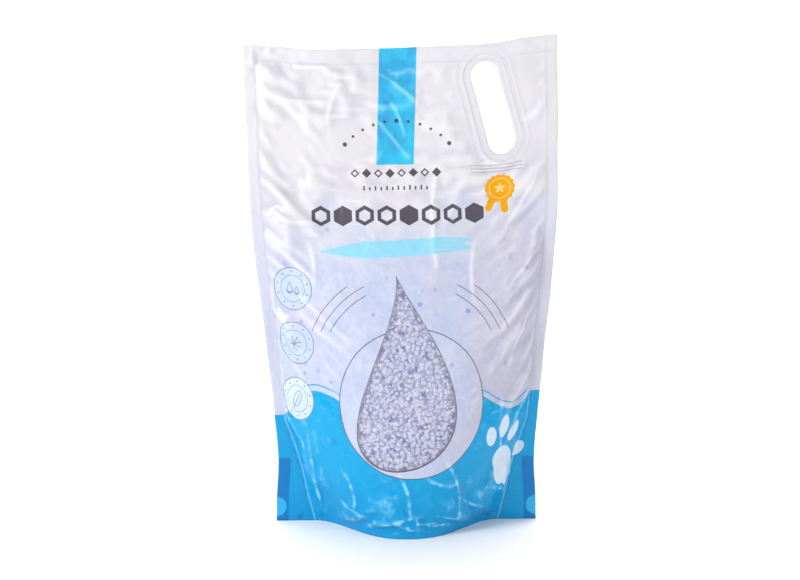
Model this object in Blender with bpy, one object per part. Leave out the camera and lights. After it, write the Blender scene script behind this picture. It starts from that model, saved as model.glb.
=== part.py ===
"""Stand-up pouch of silica gel cat litter: two film panels, a folded bottom gusset and the granules inside.

Metres, +Z up. The pouch stands on its opened gusset, with its printed front facing -Y and its middle on the Z axis.
Every film is worked out from its flat cut: each row of a panel keeps its own length while it bulges, so the pouch
draws in sideways where it is fat, as a real one does.
"""

import math

import bmesh
import bpy
import numpy as np

# The flat film
FLAT_WIDTH = 0.285  # across the empty pouch
FILM_HEIGHT = 0.451  # along the film, from the bottom edge to the top edge
FILM = 0.0002  # thickness of the laminate
GAP = 0.0003  # left between two films that lie on each other
SIDE_SEAL = 0.010
TOP_SEAL = 0.014
GUSSET_DEPTH = 0.058  # from the pouch's bottom edge up to the gusset's fold
SKIRT = 0.006  # height of the weld between panel and gusset
LAYERS_TOP = 0.060  # up to here the gusset's film lies between the panels in the corners
LAYERS_FADE = 0.015  # and over this length above it the panels close up

# The filled shape: how far the front stands out from the side seals' plane, by length along the film
DEPTH_AT = {
    0.000: 0.0530,
    0.035: 0.0585,
    0.076: 0.0600,
    0.153: 0.0505,
    0.226: 0.0345,
    0.264: 0.0230,
    0.300: 0.0115,
    0.335: 0.0036,
    0.358: 0.0005,
    0.380: 0.0,
    FILM_HEIGHT - TOP_SEAL: 0.0,
    FILM_HEIGHT: 0.0,
}
BUMP_POWER = 1.25  # of the bump between the flat wings at the foot: more is flatter at the middle
CROWN = 2.15  # power of the bulging section: 2 is a parabola, more is flatter at the middle
CORNER_WELD = 0.037  # width of the flat weld at the bottom corners
CORNER_WELD_TOP = 0.100  # height at which that weld has narrowed to the side seal
ROUNDED_BY = 0.060  # height by which the section has turned from a bump between flat wings to a full lens
LEAN = math.radians(2.0)  # sideways lean of the top edge, +X end up
LEAN_POWER = 1.4  # the lean grows with this power of the height

# The hand hole, welded round its edge
HOLE_CENTRE = (0.0836, 0.3935)  # across and up the flat film
HOLE_WIDTH = 0.0245
HOLE_LENGTH = 0.0855
HOLE_TILT = math.radians(14.0)
CUTTER_REACH = 0.03  # how far a cutter stands out on both sides of the seals' plane

# The gusset
FLAT_SHARE = 0.45  # share of its half width that lies flat on the ground
RIDGE_POWER = 1.3  # of the fold's rise from the flat part to the side seals
FLAT_REACH = 0.75  # share of its half depth that lies flat on the ground
WEB_INSET = 0.97  # the web lies a little inside the bulge that it is welded to
NOTCH_RADIUS = 0.0095
NOTCH_HEIGHT = 0.014

# The granules
FILL_LENGTH = 0.300  # along the film, from the bottom edge to the top of the fill
FILL_DOME = 0.004  # rise of the fill's top at its middle
FILL_CLEARANCE = 0.0010  # between the fill and the film
FILL_INSET = 0.98  # share of the bulge that the fill takes up
FILL_LIFT = 0.002  # of the fill's lower edge above the weld
FILL_RIDGE_LIFT = 0.014  # and what is added to that towards the side seals
FILL_EDGE = 0.99  # the fill keeps to columns within this share of the bulge
OVER_STATIONS = (-0.6, -0.2, 0.2, 0.6)  # of a loop across the top, as shares of the half depth
UNDER_STATIONS = (0.8, 0.5, 0.0, -0.5, -0.8)  # and under the bottom

# Mesh steps
COLUMNS = 20
WING_COLUMNS = 2
FOOT_ROWS = 8
BODY_ROWS = 20
WEB_STEPS = 6
FILL_ROWS = 18
SECTION_STEPS = 240
BISECTIONS = 40
HOLE_STEPS = 16
NOTCH_STEPS = 28


def smooth(value):
    """A smooth step from 0 to 1."""
    value = np.clip(value, 0.0, 1.0)
    return value * value * (3.0 - 2.0 * value)


def depth_at(along):
    """Half depth of the pouch at a length along the film: a smooth curve through DEPTH_AT."""
    stations = np.array(list(DEPTH_AT))
    depths = np.array(list(DEPTH_AT.values()))
    slopes = np.gradient(depths, stations)
    i = np.clip(np.searchsorted(stations, along) - 1, 0, len(stations) - 2)
    step = stations[i + 1] - stations[i]
    k = (along - stations[i]) / step
    start = (1 + 2 * k) * (1 - k) ** 2 * depths[i] + k * (1 - k) ** 2 * step * slopes[i]
    end = k * k * (3 - 2 * k) * depths[i + 1] + k * k * (k - 1) * step * slopes[i + 1]
    return max(start + end, 0.0)


def wing_at(along):
    """Width of the flat weld beside the bulge: the corner weld at the bottom, the side seal above."""
    spread = max(0.0, 1.0 - along / CORNER_WELD_TOP)
    return SIDE_SEAL + (CORNER_WELD - SIDE_SEAL) * spread


def lift_at(along):
    """Distance of a panel's inner face from the seals' plane: the gusset's film lies between in the corners."""
    layered = 1.0 - smooth((along - LAYERS_TOP) / LAYERS_FADE)
    return GAP / 2 + (FILM + GAP) * layered


class Row:
    """One level row of the front panel, bent from flat film of a fixed length."""

    def __init__(self, along):
        self.along = along
        self.wing = wing_at(along)
        self.length = FLAT_WIDTH / 2 - self.wing
        depth = depth_at(along)
        roundness = smooth(along / ROUNDED_BY)
        share = np.linspace(0.0, 1.0, SECTION_STEPS)
        bump = (1.0 + np.cos(math.pi * share**BUMP_POWER)) / 2.0
        lens = 1.0 - share**CROWN
        self.out = depth * ((1.0 - roundness) * bump + roundness * lens)
        low, high = 0.0, self.length
        for _ in range(BISECTIONS):
            self.half = (low + high) / 2.0
            self.run = self.run_along(self.half * share)
            if self.run[-1] > self.length:
                high = self.half
            else:
                low = self.half
        self.across = self.half * share

    def run_along(self, across):
        """Length along the bulge, from the middle."""
        steps = np.hypot(np.diff(across), np.diff(self.out))
        return np.concatenate([[0.0], np.cumsum(steps)])

    def point(self, share):
        """Flat place, place across and standing out; share is -1 to 1 over the bulge and 2 at the film's edge."""
        size = abs(share)
        if size <= 1.0:
            flat = size * self.length
            across = np.interp(flat, self.run, self.across)
            out = np.interp(flat, self.run, self.out)
        else:
            flat = self.length + (size - 1.0) * self.wing
            across = self.half + (size - 1.0) * self.wing
            out = 0.0
        side = math.copysign(1.0, share)
        return side * flat, side * across, out


def leaned(across, height, along):
    """The pouch leans to one side as it goes up, and its rows turn with it."""
    share = along / FILM_HEIGHT
    turn = LEAN * share**LEAN_POWER
    shift = -LEAN * FILM_HEIGHT * share ** (LEAN_POWER + 1.0) / (LEAN_POWER + 1.0)
    return across * math.cos(turn) + shift, height + across * math.sin(turn)


def film_grid(shares, levels):
    """Points (across, out, up) of the front film. out is counted from the seals' plane."""
    rows = [Row(along) for along in levels]
    grid = np.zeros((len(shares), len(levels), 3))
    for i, share in enumerate(shares):
        height = 0.0
        before = None
        for j, row in enumerate(rows):
            flat, across, out = row.point(share)
            if before:
                film_step = (flat - before[0]) ** 2 + (row.along - before[3]) ** 2
                level_step = (across - before[1]) ** 2 + (out - before[2]) ** 2
                height += math.sqrt(max(film_step - level_step, 0.0))
            before = (flat, across, out, row.along)
            x, z = leaned(across, height, row.along)
            grid[i, j] = (x, out, z)
    return grid


class Film:
    """The front panel's own columns and rows, read anywhere by straight interpolation along a column."""

    def __init__(self, shares):
        self.shares = shares
        self.levels = panel_levels()
        self.grid = film_grid(shares, self.levels)

    def at(self, column, along):
        return np.array([np.interp(along, self.levels, self.grid[column, :, k]) for k in range(3)])


def column_shares():
    """Shares across a panel: the bulge in even steps, then the wings out to the film's edge at -2 and 2."""
    bulge = np.linspace(-1.0, 1.0, COLUMNS + 1)
    wing = np.linspace(1.0, 2.0, WING_COLUMNS + 1)[1:]
    return np.concatenate([-wing[::-1], bulge, wing])


def panel_levels():
    """Rows of a panel: close together at the foot, and one on the top seal's inner edge."""
    foot = np.linspace(SKIRT, GUSSET_DEPTH, FOOT_ROWS + 1)
    body = np.linspace(GUSSET_DEPTH, FILM_HEIGHT - TOP_SEAL, BODY_ROWS + 1)[1:]
    return np.concatenate([[0.0], foot, body, [FILM_HEIGHT]])


def add_object(name, mesh, material):
    thing = bpy.data.objects.new(name, mesh)
    bpy.context.scene.collection.objects.link(thing)
    mesh.materials.append(material)
    return thing


def grid_mesh(name, grid, flip):
    """A mesh of quads over a grid of points; flip turns its faces over."""
    columns, rows = grid.shape[:2]
    faces = []
    for i in range(columns - 1):
        for j in range(rows - 1):
            face = (i * rows + j, (i + 1) * rows + j, (i + 1) * rows + j + 1, i * rows + j + 1)
            faces.append(face[::-1] if flip else face)
    mesh = bpy.data.meshes.new(name)
    mesh.from_pydata([tuple(point) for point in grid.reshape(-1, 3)], [], faces)
    mesh.update()
    mesh.shade_smooth()
    return mesh


def thicken(thing):
    """Gives a sheet its film thickness, on the side that its faces look to."""
    solidify = thing.modifiers.new("film", "SOLIDIFY")
    solidify.thickness = FILM
    solidify.offset = 1.0
    solidify.use_rim = True


def cutter(name, outline, centre, depth):
    """A prism along Y over an outline in X and Z, which cuts what it passes through."""
    work = bmesh.new()
    front = [work.verts.new((centre[0] + x, -depth, centre[1] + z)) for x, z in outline]
    face = work.faces.new(front)
    back = bmesh.ops.extrude_face_region(work, geom=[face])
    moved = [item for item in back["geom"] if isinstance(item, bmesh.types.BMVert)]
    bmesh.ops.translate(work, verts=moved, vec=(0.0, 2.0 * depth, 0.0))
    bmesh.ops.recalc_face_normals(work, faces=work.faces)
    mesh = bpy.data.meshes.new(name)
    work.to_mesh(mesh)
    work.free()
    thing = bpy.data.objects.new(name, mesh)
    bpy.context.scene.collection.objects.link(thing)
    thing.hide_render = True
    thing.display_type = "WIRE"
    return thing


def cut(thing, tool):
    boolean = thing.modifiers.new(tool.name, "BOOLEAN")
    boolean.operation = "DIFFERENCE"
    boolean.solver = "EXACT"
    boolean.object = tool


def stadium(width, length, tilt):
    """A slot with round ends, its length tilted from upright towards -X at the top."""
    radius = width / 2.0
    run = length / 2.0 - radius
    points = []
    for end in (1.0, -1.0):
        for k in range(HOLE_STEPS + 1):
            turn = math.pi * k / HOLE_STEPS + (0.0 if end > 0 else math.pi)
            x = radius * math.cos(turn)
            z = end * run + radius * math.sin(turn)
            points.append((x * math.cos(tilt) - z * math.sin(tilt), x * math.sin(tilt) + z * math.cos(tilt)))
    return points


def circle(radius):
    turns = [2.0 * math.pi * (k + 0.5) / NOTCH_STEPS for k in range(NOTCH_STEPS)]
    return [(radius * math.cos(turn), radius * math.sin(turn)) for turn in turns]


def make_material(name, colour, roughness, alpha=1.0):
    material = bpy.data.materials.new(name)
    material.use_nodes = True
    shader = material.node_tree.nodes["Principled BSDF"]
    shader.inputs["Base Color"].default_value = (*colour, 1.0)
    shader.inputs["Roughness"].default_value = roughness
    shader.inputs["Metallic"].default_value = 0.0
    shader.inputs["Alpha"].default_value = alpha
    material.diffuse_color = (*colour, alpha)
    return material


def make_panel(name, side, material):
    """A panel of printed film. side is -1 for the front and 1 for the back."""
    shares = column_shares()
    levels = panel_levels()
    grid = film_grid(shares, levels)
    lifts = np.array([lift_at(along) for along in levels])
    places = np.stack([grid[..., 0], side * (grid[..., 1] + lifts), grid[..., 2]], axis=-1)
    panel = add_object(name, grid_mesh(name, places, side > 0), material)
    thicken(panel)
    return panel


def ridge_height(share):
    """Height of the gusset's fold along the film: none where it lies flat, all of it at the side seals."""
    q = (min(abs(share), 1.0) - FLAT_SHARE) / (1.0 - FLAT_SHARE)
    return GUSSET_DEPTH * max(q, 0.0) ** RIDGE_POWER


def web_point(film, column, spread):
    """A point on the gusset's underside. spread is 0 on the fold and 1 where the web leaves the panel."""
    share = film.shares[column]
    foot = film.at(column, SKIRT)
    fold = film.at(column, ridge_height(share))
    if ridge_height(share) == 0.0:
        fold[2] = 0.0
    out = (foot[1] * WEB_INSET + lift_at(0.0) - GAP - FILM) * spread
    rise = smooth((spread - FLAT_REACH) / (1.0 - FLAT_REACH))
    sloped = fold[2] + (foot[2] - fold[2]) * spread
    sagged = fold[2] * (1.0 - spread) + foot[2] * rise
    up = sloped if abs(share) >= 1.0 else sagged
    return np.array([fold[0] + (foot[0] - fold[0]) * spread, out, up])


def half_web(film, column):
    """One column of the web, from the front panel's bottom edge up the weld and over to the fold."""
    share = film.shares[column]
    inward = lift_at(0.0) - GAP - FILM
    across, out, up = film.at(column, 0.0)
    points = [np.array([across, out * WEB_INSET + inward, up])]
    for k in range(WEB_STEPS + 1):
        spread = 1.0 - k / WEB_STEPS
        points.append(web_point(film, column, spread))
    if abs(share) >= 1.0:
        points[-2][1] = inward  # welded to its other half beside the bulge
    return np.array(points)


def make_gusset(material):
    """The folded web that opens into the pouch's foot, punched at its side edges."""
    film = Film(column_shares())
    columns = []
    for i in range(len(film.shares)):
        front = half_web(film, i) * (1.0, -1.0, 1.0)
        back = front[-2::-1] * (1.0, -1.0, 1.0)
        columns.append(np.concatenate([front, back]))
    gusset = add_object("bottom_gusset", grid_mesh("bottom_gusset", np.array(columns), False), material)
    thicken(gusset)
    for side, column in ((-1.0, 0), (1.0, len(film.shares) - 1)):
        edge = film.at(column, NOTCH_HEIGHT)
        name = "notch_cutter_left" if side < 0 else "notch_cutter_right"
        cut(gusset, cutter(name, circle(NOTCH_RADIUS), (edge[0], NOTCH_HEIGHT), CUTTER_REACH))
    return gusset


def fill_loop(film, column):
    """One closed loop round the granules, across the pouch's depth: up the front, over, down the back and under."""
    share = film.shares[column]
    ridge = max(min(abs(share), 1.0) - FLAT_SHARE, 0.0) / (1.0 - FLAT_SHARE)
    start = SKIRT + FILL_LIFT + FILL_RIDGE_LIFT * ridge
    end = FILL_LENGTH - FILL_DOME * share * share
    front = []
    for along in np.linspace(start, end, FILL_ROWS + 1):
        across, out, up = film.at(column, along)
        front.append((across, -(out * FILL_INSET + lift_at(along) - FILL_CLEARANCE), up))
    back = [(x, -y, z) for x, y, z in reversed(front)]
    first, last = front[0], front[-1]
    over = []
    for k in OVER_STATIONS:
        over.append((last[0], -k * last[1], last[2] + FILL_DOME * (1.0 - k * k)))
    under = []
    for k in UNDER_STATIONS:
        x, _, z = web_point(film, column, abs(k))
        reach = first[2] - film.at(column, SKIRT)[2]
        under.append((x, -k * first[1], z + FILM + reach))
    return front + over + back + under


def make_fill(material):
    """The granules as one body, lying against the film on all sides."""
    shares = [share for share in column_shares() if abs(share) < FILL_EDGE]
    film = Film(shares)
    loops = [fill_loop(film, column) for column in range(len(shares))]
    count = len(loops[0])
    points = [point for loop in loops for point in loop]
    faces = [tuple(range(count))[::-1]]
    faces.append(tuple(range(len(points) - count, len(points))))
    for i in range(len(loops) - 1):
        for j in range(count):
            k = (j + 1) % count
            faces.append((i * count + j, i * count + k, (i + 1) * count + k, (i + 1) * count + j))
    mesh = bpy.data.meshes.new("litter_fill")
    mesh.from_pydata(points, [], faces)
    work = bmesh.new()
    work.from_mesh(mesh)
    bmesh.ops.recalc_face_normals(work, faces=work.faces)
    bmesh.ops.triangulate(work, faces=[face for face in work.faces if len(face.verts) > 4])
    work.to_mesh(mesh)
    work.free()
    mesh.shade_smooth()
    return add_object("litter_fill", mesh, material)


def make_hand_hole(panels):
    """Cuts the slanted hand hole through both panels."""
    centre = leaned(HOLE_CENTRE[0], HOLE_CENTRE[1], HOLE_CENTRE[1])
    outline = stadium(HOLE_WIDTH, HOLE_LENGTH, HOLE_TILT)
    tool = cutter("hand_hole_cutter", outline, centre, CUTTER_REACH)
    for panel in panels:
        cut(panel, tool)


def main():
    for thing in list(bpy.data.objects):
        bpy.data.objects.remove(thing)
    printed = make_material("printed film", (0.80, 0.82, 0.90), 0.25)
    plain = make_material("film", (0.82, 0.84, 0.90), 0.25)
    blue = make_material("blue film", (0.01, 0.40, 0.80), 0.25)
    granules = make_material("silica gel", (0.72, 0.72, 0.86), 0.35)
    front = make_panel("front_panel", -1.0, printed)
    back = make_panel("back_panel", 1.0, plain)
    make_gusset(blue)
    make_fill(granules)
    make_hand_hole([front, back])


main()
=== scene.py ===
"""Finishes a stand-up pouch of silica gel litter: creased film, print, a clear window and the granules behind it.

The film is cut flat, bent to the filled pouch's shape with its lengths kept, given its listed folds, and then relaxed
as cloth with a little slack; its sharper listed creases are pressed in after that. Lengths are in metres; the print is
drawn in millimetres of flat film.
"""

import math

import bmesh
import bpy
import numpy as np
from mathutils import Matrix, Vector


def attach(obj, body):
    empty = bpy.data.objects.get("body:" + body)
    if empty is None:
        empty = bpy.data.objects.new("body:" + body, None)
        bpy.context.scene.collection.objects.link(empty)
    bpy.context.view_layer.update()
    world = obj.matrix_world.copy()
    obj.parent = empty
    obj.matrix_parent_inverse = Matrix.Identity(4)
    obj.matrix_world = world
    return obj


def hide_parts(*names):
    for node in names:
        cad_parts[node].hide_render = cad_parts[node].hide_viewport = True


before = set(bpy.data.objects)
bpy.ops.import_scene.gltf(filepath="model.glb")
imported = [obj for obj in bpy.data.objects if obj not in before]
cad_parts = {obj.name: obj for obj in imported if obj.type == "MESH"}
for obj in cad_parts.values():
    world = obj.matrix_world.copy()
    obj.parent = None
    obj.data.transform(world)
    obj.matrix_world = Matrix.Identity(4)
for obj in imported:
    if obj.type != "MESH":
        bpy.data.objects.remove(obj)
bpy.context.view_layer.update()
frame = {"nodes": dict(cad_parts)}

bl_info = {
    "name": "Litter pouch finisher",
    "version": (1, 0, 0),
    "blender": (4, 5, 0),
    "location": "3D View > Sidebar > Pouch",
    "description": "Makes the films, print, window and granules of a stand-up pouch",
    "category": "Object",
}

# The flat film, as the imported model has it
FLAT_WIDTH = 0.285
FILM_HEIGHT = 0.451
SIDE_SEAL = 0.010
TOP_SEAL = 0.014
GUSSET_DEPTH = 0.058
SKIRT = 0.006
CORNER_WELD = 0.037
CORNER_WELD_TOP = 0.100
ROUNDED_BY = 0.060
BUMP_POWER = 1.25
CROWN = 2.15
LEAN = math.radians(2.0)
LEAN_POWER = 1.4
DEPTH_AT = {
    0.000: 0.0530,
    0.035: 0.0585,
    0.076: 0.0600,
    0.153: 0.0505,
    0.226: 0.0345,
    0.264: 0.0230,
    0.300: 0.0115,
    0.335: 0.0036,
    0.358: 0.0005,
    0.380: 0.0,
    FILM_HEIGHT - TOP_SEAL: 0.0,
    FILM_HEIGHT: 0.0,
}
FILL_LENGTH = 0.300
HOLE_CENTRE = (0.0836, 0.3935)
HOLE_WIDTH = 0.0245
HOLE_LENGTH = 0.0855
HOLE_TILT = math.radians(14.0)
NOTCH_RADIUS = 9.5
NOTCH_HEIGHT = 14.0


# ---------------------------------------------------------------- sizes and colours


class PouchSizes(bpy.types.PropertyGroup):
    film: bpy.props.FloatProperty(
        name="Film", description="Thickness of the laminate", default=0.0002, unit="LENGTH", precision=5
    )
    mesh_step: bpy.props.FloatProperty(
        name="Cloth step", description="Spacing of the relaxed film's points", default=0.00325, unit="LENGTH"
    )
    slack: bpy.props.FloatProperty(
        name="Slack", description="Share by which the film is longer than the shape it covers", default=0.0055
    )
    granule: bpy.props.FloatProperty(
        name="Granule", description="Size of one granule", default=0.0050, unit="LENGTH"
    )
    rounds: bpy.props.IntProperty(name="Rounds", description="Rounds of cloth relaxation", default=420)


def colour(name, text, value):
    return bpy.props.FloatVectorProperty(
        name=name, description=text, subtype="COLOR", size=3, min=0.0, max=1.0, default=value
    )


class PouchColours(bpy.types.PropertyGroup):
    white: colour("White", "Empty frosted film", (0.60, 0.59, 0.615))
    lavender: colour("Lavender", "Frosted film over granules", (0.405, 0.455, 0.62))
    blue: colour("Blue", "The print's blue field", (0.0, 0.31, 0.60))
    deep_blue: colour("Deep blue", "The blue field low down", (0.0, 0.25, 0.54))
    cyan: colour("Cyan", "Brush stroke and thin line", (0.22, 0.55, 0.70))
    ink: colour("Ink", "Dark print", (0.045, 0.038, 0.055))
    amber: colour("Amber", "Rosette", (0.68, 0.31, 0.004))
    violet: colour("Violet", "Indicator granules", (0.10, 0.07, 0.32))
    granule: colour("Granule", "Plain granules", (0.94, 0.93, 0.985))


# ---------------------------------------------------------------- nodes as expressions


class Term:
    """A number that varies over a surface, worked with Python's operators; each one adds a Math node."""

    def __init__(self, finish, socket):
        self.finish = finish
        self.socket = socket

    def __add__(self, other):
        return self.finish.maths("ADD", self, other)

    def __radd__(self, other):
        return self.finish.maths("ADD", other, self)

    def __sub__(self, other):
        return self.finish.maths("SUBTRACT", self, other)

    def __rsub__(self, other):
        return self.finish.maths("SUBTRACT", other, self)

    def __mul__(self, other):
        return self.finish.maths("MULTIPLY", self, other)

    def __rmul__(self, other):
        return self.finish.maths("MULTIPLY", other, self)

    def __truediv__(self, other):
        return self.finish.maths("DIVIDE", self, other)

    def __pow__(self, other):
        return self.finish.maths("POWER", self, other)

    def __abs__(self):
        return self.finish.maths("ABSOLUTE", self)

    def high(self, other):
        return self.finish.maths("MAXIMUM", self, other)

    def low(self, other):
        return self.finish.maths("MINIMUM", self, other)

    def root(self):
        return self.finish.maths("SQRT", self)

    def floor(self):
        return self.finish.maths("FLOOR", self)

    def sine(self):
        return self.finish.maths("SINE", self)

    def clamped(self):
        return self.finish.node("ShaderNodeClamp", {}, {"Value": self}).term("Result")

    def edge(self, soft):
        """1 where the number is above 0, with an edge soft wide."""
        return (self / soft + 0.5).clamped()

    def ramp(self, start, end):
        """A smooth step from 0 at start to 1 at end."""
        sockets = {"Value": self, "From Min": start, "From Max": end}
        settings = {"interpolation_type": "SMOOTHSTEP"}
        return self.finish.node("ShaderNodeMapRange", settings, sockets).term("Result")


class Part:
    """A node, whose outputs are read as terms or as sockets."""

    def __init__(self, finish, node):
        self.finish = finish
        self.node = node

    def term(self, output):
        return Term(self.finish, self.node.outputs[output])

    def socket(self, output):
        return self.node.outputs[output]


class Finish:
    """A material in the making."""

    def __init__(self, name):
        self.material = bpy.data.materials.new(name)
        self.material.use_nodes = True
        self.tree = self.material.node_tree
        self.tree.nodes.clear()

    def link(self, value, socket):
        if isinstance(value, Term):
            value = value.socket
        if isinstance(value, bpy.types.NodeSocket):
            self.tree.links.new(value, socket)
        else:
            socket.default_value = value

    def node(self, kind, settings, sockets):
        """A node of one kind: its settings are set first, then its sockets' values or links."""
        node = self.tree.nodes.new(kind)
        for name, value in settings.items():
            if name == "curve":
                set_curve(node, value)
            else:
                setattr(node, name, value)
        for name, value in sockets.items():
            self.link(value, node.inputs[name])
        return Part(self, node)

    def maths(self, operation, *values):
        node = self.tree.nodes.new("ShaderNodeMath")
        node.operation = operation
        for value, socket in zip(values, node.inputs):
            self.link(value, socket)
        return Term(self, node.outputs[0])

    def mix(self, share, first, second):
        """A colour between two, or from one to the other by a share that varies."""
        node = self.tree.nodes.new("ShaderNodeMix")
        node.data_type = "RGBA"
        self.link(share, node.inputs["Factor"])
        for value, slot in ((first, 6), (second, 7)):
            if not isinstance(value, bpy.types.NodeSocket):
                value = (*value[:3], 1.0)
            self.link(value, node.inputs[slot])
        return node.outputs[2]

    def place(self, x, y, z=0.0):
        return self.node("ShaderNodeCombineXYZ", {}, {"X": x, "Y": y, "Z": z}).socket("Vector")

    def distance(self, place, centre):
        sockets = {0: place, 1: (*centre, 0.0)}
        return self.node("ShaderNodeVectorMath", {"operation": "DISTANCE"}, sockets).term("Value")

    def noise(self, place, scale, detail=2.0, roughness=0.5):
        sockets = {"Vector": place, "Scale": scale, "Detail": detail, "Roughness": roughness}
        return self.node("ShaderNodeTexNoise", {}, sockets).term("Fac")

    def cells(self, place, scale, feature="F1"):
        return self.node("ShaderNodeTexVoronoi", {"feature": feature}, {"Vector": place, "Scale": scale})

    def output(self, shader):
        self.node("ShaderNodeOutputMaterial", {}, {"Surface": shader})
        return self.material


def set_curve(node, points):
    curve = node.mapping.curves[0]
    for place, value in points[1:-1]:
        curve.points.new(place, value)
    for point, (place, value) in zip(curve.points, points):
        point.location = (place, value)
    node.mapping.update()


# ---------------------------------------------------------------- the film's shape


def smooth(value):
    value = np.clip(value, 0.0, 1.0)
    return value * value * (3.0 - 2.0 * value)


def depth_at(along):
    """Half depth of the pouch by length along the film: a smooth curve through DEPTH_AT."""
    stations = np.array(list(DEPTH_AT))
    depths = np.array(list(DEPTH_AT.values()))
    slopes = np.gradient(depths, stations)
    i = np.clip(np.searchsorted(stations, along) - 1, 0, len(stations) - 2)
    step = stations[i + 1] - stations[i]
    k = (along - stations[i]) / step
    start = (1 + 2 * k) * (1 - k) ** 2 * depths[i] + k * (1 - k) ** 2 * step * slopes[i]
    end = k * k * (3 - 2 * k) * depths[i + 1] + k * k * (k - 1) * step * slopes[i + 1]
    return max(start + end, 0.0)


def wing_at(along):
    spread = np.maximum(0.0, 1.0 - along / CORNER_WELD_TOP)
    return SIDE_SEAL + (CORNER_WELD - SIDE_SEAL) * spread


def bent_row(flat, along):
    """Places across and standing out of points at flat places on one row, the row's length kept."""
    length = FLAT_WIDTH / 2 - wing_at(along)
    share = np.linspace(0.0, 1.0, 240)
    roundness = smooth(along / ROUNDED_BY)
    bump = (1.0 + np.cos(math.pi * share**BUMP_POWER)) / 2.0
    out = depth_at(along) * ((1.0 - roundness) * bump + roundness * (1.0 - share**CROWN))
    low, high = 0.0, length
    for _ in range(36):
        half = (low + high) / 2.0
        run = np.concatenate([[0.0], np.cumsum(np.hypot(half * np.diff(share), np.diff(out)))])
        low, high = (low, half) if run[-1] > length else (half, high)
    size = np.abs(flat)
    across = np.where(size <= length, np.interp(size, run, half * share), half + size - length)
    return np.sign(flat) * across, np.where(size <= length, np.interp(size, run, out), 0.0)


def base_film(flat, along):
    """The bent front film (across, out, up) on a grid of flat places, with lengths kept both ways."""
    grid = np.zeros((len(flat), len(along), 3))
    height = np.zeros(len(flat))
    for j, level in enumerate(along):
        across, out = bent_row(flat, level)
        if j:
            step = level - along[j - 1]
            moved = (across - before[0]) ** 2 + (out - before[1]) ** 2
            height = height + np.sqrt(np.maximum(step * step - moved, 0.0))
        before = (across, out)
        grid[:, j, 0], grid[:, j, 1], grid[:, j, 2] = across, out, height
    share = along / FILM_HEIGHT
    turn = LEAN * share**LEAN_POWER
    shift = -LEAN * FILM_HEIGHT * share ** (LEAN_POWER + 1.0) / (LEAN_POWER + 1.0)
    across = grid[..., 0] * np.cos(turn) + shift
    grid[..., 2] += grid[..., 0] * np.sin(turn)
    grid[..., 0] = across
    return grid


def soft_noise(seed, shape, step, reach):
    """Smooth random field of unit spread, its features about reach metres across."""
    white = np.random.default_rng(seed).standard_normal(shape)
    kx = np.fft.fftfreq(shape[0], step)[:, None]
    ky = np.fft.fftfreq(shape[1], step)[None, :]
    keep = np.exp(-((kx**2 + ky**2) * (reach * 1.1) ** 2) * 2.0)
    field = np.real(np.fft.ifft2(np.fft.fft2(white) * keep))
    return (field - field.mean()) / field.std()


FOLD_ROUND = 0.0014
FOLD_STEPS = 64
SHARP_BEND = 170.0


def fold(s, t, start, middle, end, width, height):
    """A crease along a curve through three flat places in millimetres; height below 0 is a valley."""
    best = np.full(s.shape, 1e9)
    reach = np.zeros(s.shape)
    for k in np.linspace(0.0, 1.0, FOLD_STEPS):
        a = np.array(start) * (1 - k) ** 2 + np.array(middle) * 2 * k * (1 - k) + np.array(end) * k * k
        far = (s - a[0] / 1000.0) ** 2 + (t - a[1] / 1000.0) ** 2
        nearer = far < best
        best = np.where(nearer, far, best)
        reach = np.where(nearer, math.sin(math.pi * (0.08 + 0.84 * k)) ** 0.7, reach)
    return height / 1000.0 * reach * np.exp(-np.sqrt(best + FOLD_ROUND**2) / (width / 1000.0))


FRONT_FOLDS = [
    # start, middle, end in mm of flat film, width, height
    ((70, 352), (40, 320), (24, 235), 7, 2.6),
    ((62, 350), (84, 300), (92, 220), 6, 1.8),
    ((-62, 365), (-70, 290), (-62, 215), 10, -2.6),
    ((-30, 350), (-36, 300), (-24, 250), 8, 1.4),
    ((-140, 410), (-112, 398), (-88, 405), 4, 1.6),
    ((-136, 388), (-110, 372), (-92, 378), 4, -1.6),
    ((-100, 432), (-96, 405), (-84, 385), 5, 1.8),
    ((-118, 434), (-122, 410), (-112, 392), 4, -1.4),
    ((-60, 436), (-52, 415), (-50, 390), 6, 1.0),
    ((28, 436), (36, 410), (30, 380), 6, 1.2),
    ((118, 420), (121, 380), (110, 330), 5, -1.2),
    ((132, 300), (112, 260), (104, 200), 6, 1.8),
    ((134, 250), (118, 205), (120, 150), 5, -1.8),
    ((-133, 300), (-118, 268), (-112, 225), 5, 1.2),
    ((-132, 210), (-120, 180), (-124, 130), 5, -1.4),
    ((60, 6), (84, 40), (96, 92), 5, 2.2),
    ((82, 8), (98, 30), (124, 62), 4, 2.4),
    ((-60, 6), (-80, 44), (-96, 96), 5, 1.8),
    ((10, 8), (16, 34), (8, 66), 6, 1.2),
    ((36, 8), (46, 40), (40, 78), 5, 1.8),
    ((-28, 8), (-34, 36), (-28, 60), 5, -1.2),
    ((48, 60), (74, 64), (100, 50), 4, 1.6),
]
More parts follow.
